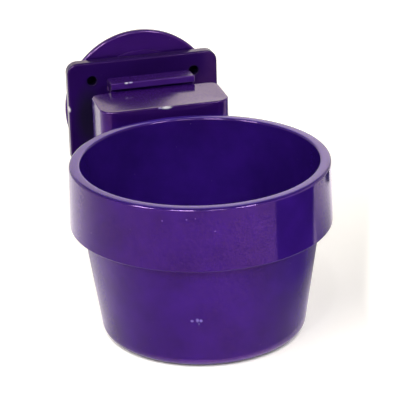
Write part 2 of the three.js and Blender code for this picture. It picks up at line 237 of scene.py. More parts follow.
# Geometry Nodes tree that turns a drawn profile about an upright axis, as a lathe does
turning, drawn = growing("Turned piece", {
    "Profile": "Geometry", "Turning radius": "Float", "Steps round": "Int", "Finish": "Material"})
line = node(turning, "GeometryNodeMeshToCurve", {"Mesh": drawn.outputs["Profile"]})
path = node(turning, "GeometryNodeCurvePrimitiveCircle", {
    "Resolution": drawn.outputs["Steps round"], "Radius": drawn.outputs["Turning radius"]})
skin = node(turning, "GeometryNodeCurveToMesh", {"Curve": path.outputs["Curve"],
            "Profile Curve": line.outputs["Curve"]})
closed_skin = node(turning, "GeometryNodeMergeByDistance", {"Geometry": skin.outputs["Mesh"],
                   "Distance": 0.002 * mm})
ended(turning, closed_skin.outputs[0], drawn.outputs["Finish"])


def turned(name, profile, steps, finish, ring=False, axis=Matrix.Identity(4)):
    """A turned piece from its profile of radius and height. The profile runs up the inside and
    down the outside, and a ring's profile closes on itself."""
    reach = max(radius for radius, _ in profile)
    count = len(profile)
    mesh = bpy.data.meshes.new(name)
    edges = [(i, (i + 1) % count) for i in range(count if ring else count - 1)]
    mesh.from_pydata([(radius - reach, -height, 0) for radius, height in profile], edges, [])
    piece = grown(placed(name, mesh), turning, {
        "Turning radius": reach, "Steps round": steps, "Finish": finish})
    piece.data.transform(axis)
    return piece


def rounded_rectangle(low, high, lower_corner, upper_corner, steps=8):
    """A rectangle with rounded corners, as a function of how far its outline is drawn in."""
    def outline(inset):
        x0, y0, x1, y1 = low[0] + inset, low[1] + inset, high[0] - inset, high[1] - inset
        lower = max(lower_corner - inset, 0.05 * mm)
        upper = max(upper_corner - inset, 0.05 * mm)
        return [*arc((x1 - lower, y0 + lower), lower, -90, 0, steps),
                *arc((x1 - upper, y1 - upper), upper, 0, 90, steps),
                *arc((x0 + upper, y1 - upper), upper, 90, 180, steps),
                *arc((x0 + lower, y0 + lower), lower, 180, 270, steps)]
    return outline


def eased(low, high, low_edge, high_edge, steps=4):
    """Heights and insets of a solid from one height to another, with its two end edges rounded."""
    quarter = [math.radians(90 * step / steps) for step in range(steps + 1)]
    start = [(low + low_edge * (1 - math.cos(a)), low_edge * (1 - math.sin(a))) for a in quarter]
    end = [(high - high_edge * (1 - math.cos(a)), high_edge * (1 - math.sin(a))) for a in quarter]
    return [*(start if low_edge else start[-1:]), *(reversed(end) if high_edge else end[-1:])]


def solid(name, outline, stations, axis=Matrix.Identity(4)):
    """A closed solid through like outlines, given as pairs of height and inset."""
    rings = [[(x, y, height) for x, y in outline(inset)] for height, inset in stations]
    count = len(rings[0])
    faces = [tuple(reversed(range(count))),
             tuple(range((len(rings) - 1) * count, len(rings) * count))]
    for ring in range(len(rings) - 1):
        for i in range(count):
            j = (i + 1) % count
            a = ring * count
            faces.append((a + i, a + j, a + count + j, a + count + i))
    mesh = bpy.data.meshes.new(name)
    mesh.from_pydata([point for ring in rings for point in ring], [], faces)
    mesh.transform(axis)
    return placed(name, mesh)


def combined(body, operation, *others):
    """Joins other solids to a body, or cuts them from it."""
    for other in others:
        modifier = body.modifiers.new("Combined", "BOOLEAN")
        modifier.operation = operation
        modifier.solver = "MANIFOLD"
        modifier.object = other
        settled(body)
        bpy.data.objects.remove(other)
    return body


def finished(piece, finish, crease=30):
    """Gives a piece its one material, and smooth shading that stays flat on its flat faces."""
    mesh = piece.data
    mesh.materials.clear()
    mesh.materials.append(finish)
    mesh.polygons.foreach_set("material_index", [0] * len(mesh.polygons))
    mesh.shade_smooth()
    mesh.set_sharp_from_angle(angle=math.radians(crease))
    modifier = piece.modifiers.new("Even shading", "WEIGHTED_NORMAL")
    modifier.keep_sharp = True
    return settled(piece)


bowl_plastic = moulded_polypropylene(
    "glossy purple polypropylene", "#35157C", "#290F65", 2.0, gloss=(0.08, 0.12), shine=0.65,
    crevice=1 * mm, hazed_from=hanger_top - 0.25 * mm, marks=[
        # Painted light and shade: the lip is painted lighter and bluer, and the hanger's top and front
        # deeper
        ((0, 0, 82.75), (66, 66, 0.6), "#5A32EC", 0.0),
        ((0, 78, 86.6), (80, 60, 0.8), "#36106A", 0.0),
        ((0, 62.9, 84), (70, 3, 7), "#2C0D5C", 0.0),
        # Painted highlights on the hanger's front edge: pale glints on its worn spots
        ((-0.2, 62.9, 86.3), (3.1, 1.2, 1.0), "#FFFDFF", 0.9),
        ((-3.6, 62.9, 86.4), (1.2, 0.7, 0.5), "#B7A6DC", 0.6),
        # Scuffs on the body's front
        ((-17.4, -48.0, 25.2), (0.9, 0.9, 0.8), "#8473C6", 0.8),
        ((-15.1, -48.7, 25.6), (0.9, 0.9, 1.2), "#8473C6", 0.8),
        ((-13.6, -49.2, 25.4), (0.9, 0.9, 1.1), "#8473C6", 0.8),
        ((-14.5, -48.9, 23.7), (0.6, 0.6, 1.0), "#5B5690", 0.8),
        # Pale specks on the collar
        ((-30.3, -51.9, 76.9), (0.5, 0.5, 0.5), "#6E52A8", 0.0),
        ((-20.6, -56.5, 78.0), (0.45, 0.45, 0.45), "#6E52A8", 0.0),
        ((-16.9, -57.7, 78.5), (0.4, 0.4, 0.4), "#6E52A8", 0.0),
        ((-8.7, -59.6, 72.3), (0.45, 0.45, 0.45), "#6E52A8", 0.0)])
body_taper = (body_top_radius - base_radius) / collar_foot
body_lean = math.atan(body_taper)


def body_at(height):
    """The outer radius of the tapered body at a height."""
    return base_radius + body_taper * height


inner_rim = rim_radius - rim_width
inner_floor = body_at(floor_thickness) - wall_thickness
inner_taper = (inner_rim - inner_floor) / (rim_height - floor_thickness)
inner_lean = math.atan(inner_taper)
floor_corner = inner_floor + inner_taper * floor_edge - floor_edge / math.cos(inner_lean)
base_corner = body_at(base_edge) - base_edge / math.cos(body_lean)
# The lip is crowned a little, on an arc that leans by lip_lean degrees where it meets both its edges
lip_sine = math.sin(math.radians(lip_lean))
lip_cosine = math.cos(math.radians(lip_lean))
lip_half = (rim_width - (rim_inner_edge + rim_edge) * (1 - lip_sine)) / 2
lip_radius = lip_half / lip_sine
lip_middle = inner_rim + rim_inner_edge * (1 - lip_sine) + lip_half
lip_end = rim_height - lip_radius * (1 - lip_cosine)
bowl = turned("bowl", [
    (0, floor_thickness),
    *arc((floor_corner, floor_thickness + floor_edge), floor_edge, -90, -math.degrees(inner_lean), 10),
    *arc((inner_rim + rim_inner_edge, lip_end - rim_inner_edge * lip_cosine),
         rim_inner_edge, 180, 90 + lip_lean, 6),
    *arc((lip_middle, rim_height - lip_radius), lip_radius, 90 + lip_lean, 90 - lip_lean, 8),
    *arc((rim_radius - rim_edge, lip_end - rim_edge * lip_cosine), rim_edge, 90 - lip_lean, 0, 7),
    *arc((collar_foot_radius - collar_edge, collar_foot + collar_edge), collar_edge, 0, -90, 4),
    *arc((collar_foot_radius - skirt_thickness + collar_edge, collar_foot + collar_edge),
         collar_edge, -90, -180, 4),
    (body_at(groove_top) + groove_width, groove_top),
    (body_at(groove_top), groove_top),
    *arc((base_corner, base_edge), base_edge, -math.degrees(body_lean), -90, 8),
    (0, 0),
], bowl_steps, bowl_plastic)

neck = combined(
    solid("neck", rounded_rectangle((-neck_side, neck_start), (neck_side, hanger_front + hanger_wall / 2),
          0, 0, 2), eased(collar_foot, neck_top, neck_foot_edge, neck_edge)),
    "DIFFERENCE",
    solid("neck_hollow", rounded_rectangle((neck_wall - neck_side, neck_hollow_start),
          (neck_side - neck_wall, hanger_front), 0, 0, 2),
          eased(collar_foot - overrun, neck_top - neck_wall, 0, hollow_edge)),
    turned("collar_core", [(0, rim_height), (rim_radius - skirt_thickness / 2, rim_height),
           (rim_radius - skirt_thickness / 2, collar_foot - overrun), (0, collar_foot - overrun)],
           bowl_steps, bowl_plastic),
)
# The hanger's top sinks a little inside its edges, as a thick moulded wall does when it cools
hanger = combined(
    solid("hanger", rounded_rectangle((-hanger_side, hanger_front), (hanger_side, hanger_back),
          hanger_front_corner, hanger_back_corner),
          [*eased(collar_foot, hanger_top, hanger_foot_edge, hanger_edge),
           *((hanger_top - hanger_sink * (1 - (1 - share) ** 2), hanger_edge + hanger_sink_reach * share)
             for share in (0.15, 0.3, 0.45, 0.6, 0.8, 1.0))]),
    "DIFFERENCE",
    solid("hanger_hollow", rounded_rectangle(
          (hanger_wall - hanger_side, hanger_front + hanger_wall),
          (hanger_side - hanger_wall, hanger_back - hanger_wall),
          hanger_front_corner - hanger_wall, hanger_back_corner - hanger_wall),
          eased(collar_foot - overrun, hanger_top - hanger_wall, 0, hollow_edge)),
    solid("stem_slot", rounded_rectangle((-stem_slot_side, hanger_back - hanger_wall - overrun),
          (stem_slot_side, hanger_back + overrun), 0, 0, 2),
          eased(collar_foot - overrun, stem_slot_top, 0, 0)),
)
finished(combined(bowl, "UNION", neck, hanger), bowl_plastic)
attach(bowl, "bowl_body")
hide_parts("bowl")

# The bracket: the plate that lies against the cage wall, with a stem and a T-shaped head that the
# hanger drops over. One moulding in the same polypropylene, hollowed and ribbed behind to keep
# its walls thin, with two holes for screws near the plate's top corners.
bracket_low, bracket_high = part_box("bracket")
finger_low, finger_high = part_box("lock_finger")
disc_low, disc_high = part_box("clamp_disc")
plate_side = bracket_high.x
plate_bottom = bracket_low.z
plate_top = bracket_high.z
plate_back = bracket_high.y
plate_front = plate_back - 5.7 * mm
plate_skin = 2.6 * mm
plate_corner = 5.5 * mm
plate_edge = 1 * mm
plate_back_edge = 0.5 * mm
plate_root = plate_front + plate_skin / 2
tray_side = plate_side - plate_skin
tray_top = plate_top - plate_skin
tray_bottom = plate_bottom + plate_skin
tray_corner = plate_corner - plate_skin
tray_edge = 0.5 * mm
rib_half = 1.1 * mm
rib_place = 13 * mm
rib_recess = 0.2 * mm
rib_edge = 0.2 * mm
bolt_height = (disc_low.z + disc_high.z) / 2
bolt_hole = 3.3 * mm
bolt_boss = bolt_hole + 5.5 * mm
screw_place = plate_side - 12.45 * mm
screw_height = plate_top - 9.5 * mm
screw_hole = 2.4 * mm
screw_flare = 0.3 * mm
screw_boss = screw_hole + 3 * mm
hole_steps = 48
hanger_clearance = 0.3 * mm
head_front = bracket_low.y
head_back = head_front + 4 * mm
head_side = 24 * mm
head_top = hanger_top - hanger_wall - hanger_clearance
head_edge = 0.8 * mm
stem_front = head_front + 0.5 * mm
stem_top = head_top - 1.6 * mm
stem_bottom = stem_top - 28 * mm
stem_side = 8.3 * mm
stem_wall = 3 * mm
finger_clearance = 0.3 * mm
shoulder_front = finger_low.y
shoulder_top = finger_low.z - finger_clearance
shoulder_bottom = shoulder_top - 8 * mm
shoulder_side = finger_high.x
shoulder_wall = 2.6 * mm
facing_front = Matrix.Rotation(math.radians(90), 4, "X")
facing_back = Matrix.Rotation(math.radians(-90), 4, "X")
along_bolt = Matrix.Translation((0, 0, bolt_height)) @ facing_back


def block(name, x, y, z, corner=0.5 * mm, edge=0.5 * mm):
    """A plain moulded bar between two values of x, y and z, with its edges eased."""
    return solid(name, rounded_rectangle((x[0], y[0]), (x[1], y[1]), corner, corner, 4),
                 eased(z[0], z[1], edge, edge))


def plug(name, x, z, radius, front, back, flare=0):
    """A round bar along Y, for a boss or a hole, that can flare where it meets the front face."""
    profile = [(0, back), (radius, back), (radius, front + flare)]
    if flare:
        profile += arc((radius + flare, front + flare), flare, 180, 270, 4)[1:]
        profile += [(radius + flare, front - overrun), (0, front - overrun)]
    else:
        profile += [(0, front)]
    return turned(name, profile, hole_steps, bracket_plastic,
                  axis=Matrix.Translation((x, 0, z)) @ facing_back)


bracket_plastic = moulded_polypropylene(
    "deep purple polypropylene", "#2A0E58", "#250B4E", 5.0, gloss=(0.1, 0.16), shine=0.3,
    crevice=14 * mm, hazed_from=plate_top - 0.4 * mm, marks=[
        # A nick on the plate's left edge painted pale as a highlight, painted shade on its front at the
        # left, and painted shade in and round its two holes
        ((-38.9, 117, 71.5), (1.2, 2.5, 2.2), "#F4EEF2", 0.5),
        ((-29, 115.6, 66), (8.5, 4, 20), "#221A38", 0.0),
        ((-26.4, 115.6, 85.4), (3.7, 4, 3.5), "#10141F", 0.2),
        ((26.6, 115.6, 85.4), (3.7, 4, 3.5), "#10141F", 0.2)])
bracket = combined(
    solid("bracket", rounded_rectangle((-plate_side, plate_bottom), (plate_side, plate_top),
          plate_corner, plate_corner),
          eased(-plate_back, -plate_front, plate_back_edge, plate_edge), facing_front),
    "DIFFERENCE",
    solid("plate_tray", rounded_rectangle((-tray_side, tray_bottom), (tray_side, tray_top),
          tray_corner, tray_corner),
          eased(-plate_back - overrun, -plate_front - plate_skin, 0, tray_edge), facing_front),
)
rib_depth = (plate_root, plate_back - rib_recess)
ribs = [block("rib", (-plate_side + plate_skin / 2, plate_side - plate_skin / 2), rib_depth,
              (bolt_height - rib_half, bolt_height + rib_half), 0, rib_edge)]
ribs += [block("rib", (x - rib_half, x + rib_half), rib_depth,
               (plate_bottom + plate_skin / 2, plate_top - plate_skin / 2), 0, rib_edge)
         for x in (-rib_place, rib_place)]
bosses = [plug("boss", x, screw_height, screw_boss, plate_root, plate_back)
          for x in (-screw_place, screw_place)]
bosses.append(plug("boss", 0, bolt_height, bolt_boss, plate_root, plate_back))
shoulder = combined(
    block("shoulder", (-shoulder_side, shoulder_side), (shoulder_front, plate_root),
          (shoulder_bottom, shoulder_top)),
    "DIFFERENCE",
    block("shoulder_hollow", (shoulder_wall - shoulder_side, shoulder_side - shoulder_wall),
          (shoulder_front + shoulder_wall, plate_front),
          (shoulder_bottom - overrun, shoulder_top - shoulder_wall)),
)
combined(bracket, "UNION", *ribs, *bosses,
         block("head", (-head_side, head_side), (head_front, head_back), (stem_bottom, head_top),
               head_edge, head_edge),
         block("stem", (-stem_side, stem_side), (stem_front, plate_root), (stem_bottom, stem_top)),
         shoulder)
combined(bracket, "DIFFERENCE",
         block("stem_core", (stem_wall - stem_side, stem_side - stem_wall),
               (head_front - overrun, plate_front), (stem_bottom + stem_wall, stem_top - stem_wall)),
         plug("bolt_hole", 0, bolt_height, bolt_hole, plate_front - overrun, plate_back + overrun),
         *(plug("screw_hole", x, screw_height, screw_hole, plate_front, plate_back + overrun, screw_flare)
           for x in (-screw_place, screw_place)))
finished(bracket, bracket_plastic)
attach(bracket, "bracket_body")
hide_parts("bracket")

# The lock finger: two spring legs on the bracket's shoulder under a folded-over thumb pad, whose
# front lip stands behind the hanger's top edge. Moulded in one with the bracket, in the same
# plastic, and bent back by a fingertip to free the bowl.
pad_lip = 3 * mm
pad_thickness = 3.4 * mm
pad_side = finger_high.x
pad_front = finger_low.y
pad_back = finger_high.y
pad_top = finger_high.z
pad_front_corner = 0.6 * mm
pad_back_corner = 1.6 * mm
pad_edge = 0.6 * mm
pad_under_edge = 0.4 * mm
pad_tilt = math.radians(3.5)
pad_fall = math.tan(pad_tilt)
pad_slope = Matrix(((1, 0, 0, 0), (0, 1, 0, 0), (0, -pad_fall, 1, pad_fall * pad_front), (0, 0, 0, 1)))
fold_thickness = 2.6 * mm
fold_corner = 0.8 * mm
fold_top = pad_top - 1.2 * mm
fold_bottom = pad_top - 6.6 * mm
leg_front = pad_front + pad_lip
leg_back = leg_front + 2.8 * mm
leg_gap = stem_side + 2.2 * mm
thumbed_plastic = moulded_polypropylene(
    "thumb-dulled polypropylene", "#421B7C", "#3A166C", 5.0, gloss=(0.14, 0.2), shine=0.5,
    crevice=5 * mm, hazed_from=pad_top, marks=[
        # Painted highlights on the pad's front lip, as pale glints on two worn spots, and painted shade on
        # its left end
        ((-13.5, 92.6, 90.6), (1.1, 0.8, 0.7), "#EDE6FA", 0.8),
        ((-11.4, 92.6, 90.7), (1.3, 0.8, 0.6), "#D8CDF4", 0.8),
        ((-22.0, 98.5, 87.0), (1.4, 16, 8), "#1C0A38", 0.0)])
lock_finger = combined(
    solid("lock_finger", rounded_rectangle((-pad_side, pad_front), (pad_side, pad_back),
          pad_front_corner, pad_back_corner),
          eased(pad_top - pad_thickness, pad_top, pad_under_edge, pad_edge), pad_slope),
    "UNION",
    block("pad_fold", (-pad_side, pad_side), (pad_back - fold_thickness, pad_back),
          (fold_bottom, fold_top), fold_corner),
    block("leg_bridge", (-pad_side, pad_side), (leg_front, leg_back), (fold_bottom, fold_top)),
    *(block("leg", x, (leg_front, leg_back), (finger_low.z, fold_bottom + overrun))
      for x in ((-pad_side, -leg_gap), (leg_gap, pad_side))),
)
finished(lock_finger, thumbed_plastic)
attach(lock_finger, "finger_body")
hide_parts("lock_finger")

# The clamp disc: the round washer that the wing nut draws up behind the plate to grip the cage
# wires. Moulded polypropylene, with a raised pad in front and a hub and radial ribs behind.
disc_radius = disc_high.x
disc_front = disc_low.y
disc_hub_back = disc_high.y
flange_front = disc_front + 1 * mm
flange_back = flange_front + 3.4 * mm
web_back = flange_front + 2 * mm
flange_edge = 1.2 * mm
disc_pad = 29.3 * mm
disc_rim = disc_radius - 3.2 * mm
hub_radius = 11 * mm
hub_edge = 0.5 * mm
disc_bore = 3.3 * mm
disc_rim_edge = 0.4 * mm
disc_pad_edge = 0.15 * mm
disc_steps = 144
disc_ribs = 8
disc_rib_half = 1 * mm
disc_rib_top = web_back + 3.6 * mm
disc_rib_end = flange_back - 0.1 * mm
disc_rib_sink = 1 * mm

# Geometry Nodes tree that sets copies of one fin evenly round an axis
fanning, drawn = growing("Fins round a hub", {
    "Fin": "Geometry", "Fins": "Int", "First angle": "Float", "Finish": "Material"})
spots = node(fanning, "GeometryNodeMeshLine", {"Count": drawn.outputs["Fins"], "Offset": (0, 0, 0)})
share = node(fanning, "ShaderNodeMath", {0: node(fanning, "GeometryNodeInputIndex").outputs[0],
             1: drawn.outputs["Fins"]}, operation="DIVIDE")
angle = node(fanning, "ShaderNodeMath", {0: share.outputs[0], 1: math.tau,
             2: drawn.outputs["First angle"]}, operation="MULTIPLY_ADD")
turn = node(fanning, "ShaderNodeCombineXYZ", {"Z": angle.outputs[0]})
fins = node(fanning, "GeometryNodeInstanceOnPoints", {"Points": spots.outputs[0],
            "Instance": drawn.outputs["Fin"], "Rotation": turn.outputs[0]})
ended(fanning, fins.outputs[0], drawn.outputs["Finish"])


def fin(name, points, half_thickness):
    """A flat fin drawn as radius and height, standing on the plane through the axis."""
    return solid(name, lambda inset: points, [(-half_thickness, 0), (half_thickness, 0)], facing_front)


disc_plastic = moulded_polypropylene(
    "clamp disc polypropylene", "#3A1372", "#331066", 9.0, gloss=(0.1, 0.16), shine=0.6,
    crevice=14 * mm, hazed_from=disc_high.z, marks=[])
clamp_disc = turned("clamp_disc", [
    (disc_bore, disc_front), (disc_bore, disc_hub_back),
    *arc((hub_radius - hub_edge, disc_hub_back - hub_edge), hub_edge, 90, 0, 3),
    (hub_radius, web_back), (disc_rim, web_back),
    *arc((disc_rim + disc_rim_edge, flange_back - disc_rim_edge), disc_rim_edge, 180, 90, 3),
    *arc((disc_radius - flange_edge, flange_back - flange_edge), flange_edge, 90, 0, 6),
    *arc((disc_radius - flange_edge, flange_front + flange_edge), flange_edge, 0, -90, 6),
    (disc_pad, flange_front),
    *arc((disc_pad - disc_pad_edge, disc_front + disc_pad_edge), disc_pad_edge, 0, -90, 3),
], disc_steps, disc_plastic, ring=True)
disc_fins = grown(fin("disc_fins", [
    (hub_radius - overrun, web_back - disc_rib_sink), (disc_rim + disc_rib_sink, web_back - disc_rib_sink),
    (disc_rim + disc_rib_sink, disc_rib_end), (disc_rim, disc_rib_end),
    (hub_radius, disc_rib_top), (hub_radius - overrun, disc_rib_top),
], disc_rib_half), fanning, {"Fins": disc_ribs, "First angle": math.pi / disc_ribs, "Finish": disc_plastic})
combined(clamp_disc, "UNION", disc_fins)
clamp_disc.data.transform(along_bolt)
finished(clamp_disc, disc_plastic)
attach(clamp_disc, "disc_body")
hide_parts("clamp_disc")

# The hex bolt: a bought M6 machine bolt, steel with bright zinc plating. Its head is pushed into
# the bracket's hollow stem, whose walls keep it from turning, and its thread is rolled.
bolt_low, bolt_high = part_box("hex_bolt")
bolt_radius = 3 * mm
bolt_pitch = 1 * mm
bolt_thread_depth = 0.55 * mm
bolt_end_chamfer = 0.8 * mm
bolt_head_front = bolt_low.y
bolt_head_back = bolt_head_front + 4 * mm
bolt_end = bolt_high.y
bolt_flats = bolt_high.x
bolt_corner = bolt_flats / math.cos(math.radians(30))
head_chamfer = 0.5 * mm
chamfer_reach = bolt_corner + 0.1 * mm
head_face = bolt_flats - 0.2 * mm
shank_length = bolt_end - bolt_head_back + 1 * mm
thread_sides = 36
thread_rows = 304
steel_steps = 72

# Geometry Nodes tree that raises a helical thread on a rod, with its far end chamfered
threading, drawn = growing("Threaded rod", {
    "Start": "Geometry", "Radius": "Float", "Length": "Float", "Pitch": "Float",
    "Thread depth": "Float", "End chamfer": "Float", "Finish": "Material"})
radius = drawn.outputs["Radius"]
rod = node(threading, "GeometryNodeMeshCylinder", {"Vertices": thread_sides, "Side Segments": thread_rows,
           "Radius": radius, "Depth": drawn.outputs["Length"]})
spot = node(threading, "GeometryNodeInputPosition").outputs[0]
parts = node(threading, "ShaderNodeSeparateXYZ", {0: spot})
around = node(threading, "ShaderNodeMath", {0: parts.outputs["Y"], 1: parts.outputs["X"]},
              operation="ARCTAN2")
turns = node(threading, "ShaderNodeMath", {0: around.outputs[0], 1: math.tau}, operation="DIVIDE")
along = node(threading, "ShaderNodeMath", {0: parts.outputs["Z"], 1: drawn.outputs["Pitch"]},
             operation="DIVIDE")
phase = node(threading, "ShaderNodeMath", {0: along.outputs[0], 1: turns.outputs[0]},
             operation="SUBTRACT")
groove = node(threading, "ShaderNodeMath", {0: phase.outputs[0], 1: 0.5}, operation="PINGPONG")
depth = node(threading, "ShaderNodeMath", {0: groove.outputs[0], 1: 2.0}, operation="MULTIPLY")
sunk = node(threading, "ShaderNodeMath", {0: depth.outputs[0], 1: drawn.outputs["Thread depth"]},
            operation="MULTIPLY")
half_length = node(threading, "ShaderNodeMath", {0: drawn.outputs["Length"], 1: 0.5},
                   operation="MULTIPLY")
from_end = node(threading, "ShaderNodeMath", {0: half_length.outputs[0], 1: parts.outputs["Z"]},
                operation="SUBTRACT")
chamfer = node(threading, "ShaderNodeMath", {0: drawn.outputs["End chamfer"], 1: from_end.outputs[0]},
               operation="SUBTRACT")
deeper = node(threading, "ShaderNodeMath", {0: sunk.outputs[0], 1: chamfer.outputs[0]},
              operation="MAXIMUM")
left = node(threading, "ShaderNodeMath", {0: radius, 1: deeper.outputs[0]}, operation="SUBTRACT")
scale = node(threading, "ShaderNodeMath", {0: left.outputs[0], 1: radius}, operation="DIVIDE")
narrowed = node(threading, "ShaderNodeCombineXYZ", {"X": scale.outputs[0], "Y": scale.outputs[0], "Z": 1.0})
new_spot = node(threading, "ShaderNodeVectorMath", {0: spot, 1: narrowed.outputs[0]}, operation="MULTIPLY")
cut = node(threading, "GeometryNodeSetPosition", {"Geometry": rod.outputs["Mesh"],
           "Position": new_spot.outputs[0]})
ended(threading, cut.outputs[0], drawn.outputs["Finish"])


def zinc_plate(name, seed):
    """Bright zinc plating on steel: a soft grey metal gloss with a faint blue cast, dulled in
    patches where it has been handled, and fine drawing lines."""
    material, tree = new_finish(name)
    place = node(tree, "ShaderNodeTexCoord").outputs["Object"]
    patches = node(tree, "ShaderNodeTexNoise", {"Vector": place, "W": seed, "Scale": 1 / (3.5 * mm),
                   "Detail": 4.0}, noise_dimensions="4D")
    share = node(tree, "ShaderNodeMapRange", {"Value": patches.outputs[0], "From Min": 0.35,
                 "From Max": 0.7})
    tone = node(tree, "ShaderNodeMix", {0: share.outputs[0], 6: linear("#C4C9CE"), 7: linear("#A6A9AB")},
                data_type="RGBA")
    dulled = node(tree, "ShaderNodeMapRange", {"Value": patches.outputs[0], "From Min": 0.35,
                  "From Max": 0.7, "To Min": 0.22, "To Max": 0.42})
    # Drawing lines 0.35 mm apart, coarser than real ones so that they show in the render
    stretched = node(tree, "ShaderNodeMapping", {"Vector": place, "Scale": (1, 0.15, 1)})
    lines = node(tree, "ShaderNodeTexNoise", {"Vector": stretched.outputs[0], "W": seed + 2,
                 "Scale": 1 / (0.35 * mm), "Detail": 2.0}, noise_dimensions="4D")
    relief = node(tree, "ShaderNodeBump", {"Height": lines.outputs[0], "Strength": 0.15,
                  "Distance": 0.02 * mm})
    surface = node(tree, "ShaderNodeBsdfPrincipled", {
        "Base Color": tone.outputs[2], "Metallic": 1.0, "Roughness": dulled.outputs[0],
        "Normal": relief.outputs[0]})
    node(tree, "ShaderNodeOutputMaterial", {"Surface": surface.outputs[0]})
    return material


zinc = zinc_plate("bright zinc plate", 4.0)
shank = grown(placed("shank", bpy.data.meshes.new("shank")), threading, {
    "Radius": bolt_radius, "Length": shank_length, "Pitch": bolt_pitch,
    "Thread depth": bolt_thread_depth, "End chamfer": bolt_end_chamfer, "Finish": zinc})
shank.data.transform(Matrix.Translation((0, 0, bolt_end - shank_length / 2)))
hexagon = [(bolt_corner * math.sin(math.radians(60 * i)), bolt_corner * math.cos(math.radians(60 * i)))
           for i in range(6, 0, -1)]
hex_bolt = combined(
    solid("hex_bolt", lambda inset: hexagon, [(bolt_head_front, 0), (bolt_head_back, 0)]),
    "INTERSECT",
    turned("head_chamfer", [(0, bolt_head_back), (bolt_flats, bolt_head_back),
           (chamfer_reach, bolt_head_back - head_chamfer), (chamfer_reach, bolt_head_front + head_chamfer),
           (head_face, bolt_head_front), (0, bolt_head_front)], steel_steps, zinc),
)
combined(hex_bolt, "UNION", shank)
hex_bolt.data.transform(along_bolt)
finished(hex_bolt, zinc)
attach(hex_bolt, "bracket_body")
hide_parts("hex_bolt")

# The flat washer: a stamped steel ring, zinc plated, loose on the bolt between the nut and the
# disc's hub. Stamping leaves its edges a little rounded.
washer_low, washer_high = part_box("flat_washer")
washer_radius = washer_high.x
washer_bore = 3.3 * mm
washer_edge = 0.3 * mm
flat_washer = turned("flat_washer", [
    *arc((washer_bore + washer_edge, washer_high.y - washer_edge), washer_edge, 180, 90, 3),
    *arc((washer_radius - washer_edge, washer_high.y - washer_edge), washer_edge, 90, 0, 3),
    *arc((washer_radius - washer_edge, washer_low.y + washer_edge), washer_edge, 0, -90, 3),
    *arc((washer_bore + washer_edge, washer_low.y + washer_edge), washer_edge, -90, -180, 3),
], steel_steps, zinc, ring=True, axis=along_bolt)
finished(flat_washer, zinc)
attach(flat_washer, "disc_body")
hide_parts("flat_washer")

# The wing nut: a cast steel hub with two upswept wings to turn by hand, zinc plated. It runs on the
# bolt outside the cage and draws the disc in.
nut_low, nut_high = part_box("wing_nut")
nut_front = nut_low.y
nut_back = nut_front + 8 * mm
nut_foot = 6.4 * mm
nut_crown = 5 * mm
nut_bore = 3.3 * mm
nut_bore_edge = 0.4 * mm
nut_crown_edge = 0.8 * mm
nut_foot_edge = 0.6 * mm
wing_reach = nut_high.x
wing_top = nut_high.y
wing_tip = 3.6 * mm
wing_half = 1.3 * mm
wing_edge = 0.6 * mm
wing_nut = turned("wing_nut", [
    (nut_bore, nut_front + nut_bore_edge), (nut_bore, nut_back - nut_bore_edge),
    (nut_bore + nut_bore_edge, nut_back),
    *arc((nut_crown - nut_crown_edge, nut_back - nut_crown_edge), nut_crown_edge, 90, 10, 4),
    *arc((nut_foot - nut_foot_edge, nut_front + nut_foot_edge), nut_foot_edge, 10, -90, 4),
    (nut_bore + nut_bore_edge, nut_front),
], steel_steps, zinc, ring=True)
wing_points = [
    (nut_bore + wing_half, nut_front + wing_half), (nut_foot, nut_front + wing_half),
    *arc((wing_reach - wing_tip, wing_top - wing_tip), wing_tip, 0, 135, 10),
    (nut_bore + wing_half, nut_back - wing_half),
]
wings = grown(fin("wings", wing_points, wing_half), fanning, {"Fins": 2, "First angle": 0.0, "Finish": zinc})
softening = wings.modifiers.new("Cast edges", "BEVEL")
softening.width = wing_edge
softening.segments = 3
softening.limit_method = "ANGLE"
softening.angle_limit = math.radians(50)
settled(wings)
combined(wing_nut, "UNION", wings)
wing_nut.data.transform(along_bolt)
finished(wing_nut, zinc, crease=40)
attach(wing_nut, "nut_body")
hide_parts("wing_nut")

# The floor: seamless white paper, evenly bright but for a painted shadow, a soft band of dimmer glow at
# the bowl's right that ends along a straight line. Camera, mirror and glass rays see that band, and for
# the rays that light the bowl the paper is even. Distances across and along the band are in millimetres.
floor_reach = 4.0
across_shade = (-0.41, 0.912, 0)
along_shade = (0.948, -0.319, 0)
shade_sides = (
    (across_shade, -22, -88, "SMOOTHSTEP"), (across_shade, -18, 104, "LINEAR"),
    (along_shade, 73, 82, "SMOOTHSTEP"), (along_shade, 60, -25, "LINEAR"))
shaded_glow = 0.525
open_glow = 0.85
lighting_glow = 0.57
contact_shade = 1.3 * mm


def seeing(tree, rays):
    """1 for the camera, mirror and glass rays that show the room, and 0 for those that only light."""
    seen = node(tree, "ShaderNodeMath", {0: rays.outputs["Is Camera Ray"], 1: rays.outputs["Is Glossy Ray"]},
                operation="MAXIMUM")
    seen = node(tree, "ShaderNodeMath", {0: seen.outputs[0], 1: rays.outputs["Is Transmission Ray"]},
                operation="MAXIMUM")
    return seen.outputs[0]


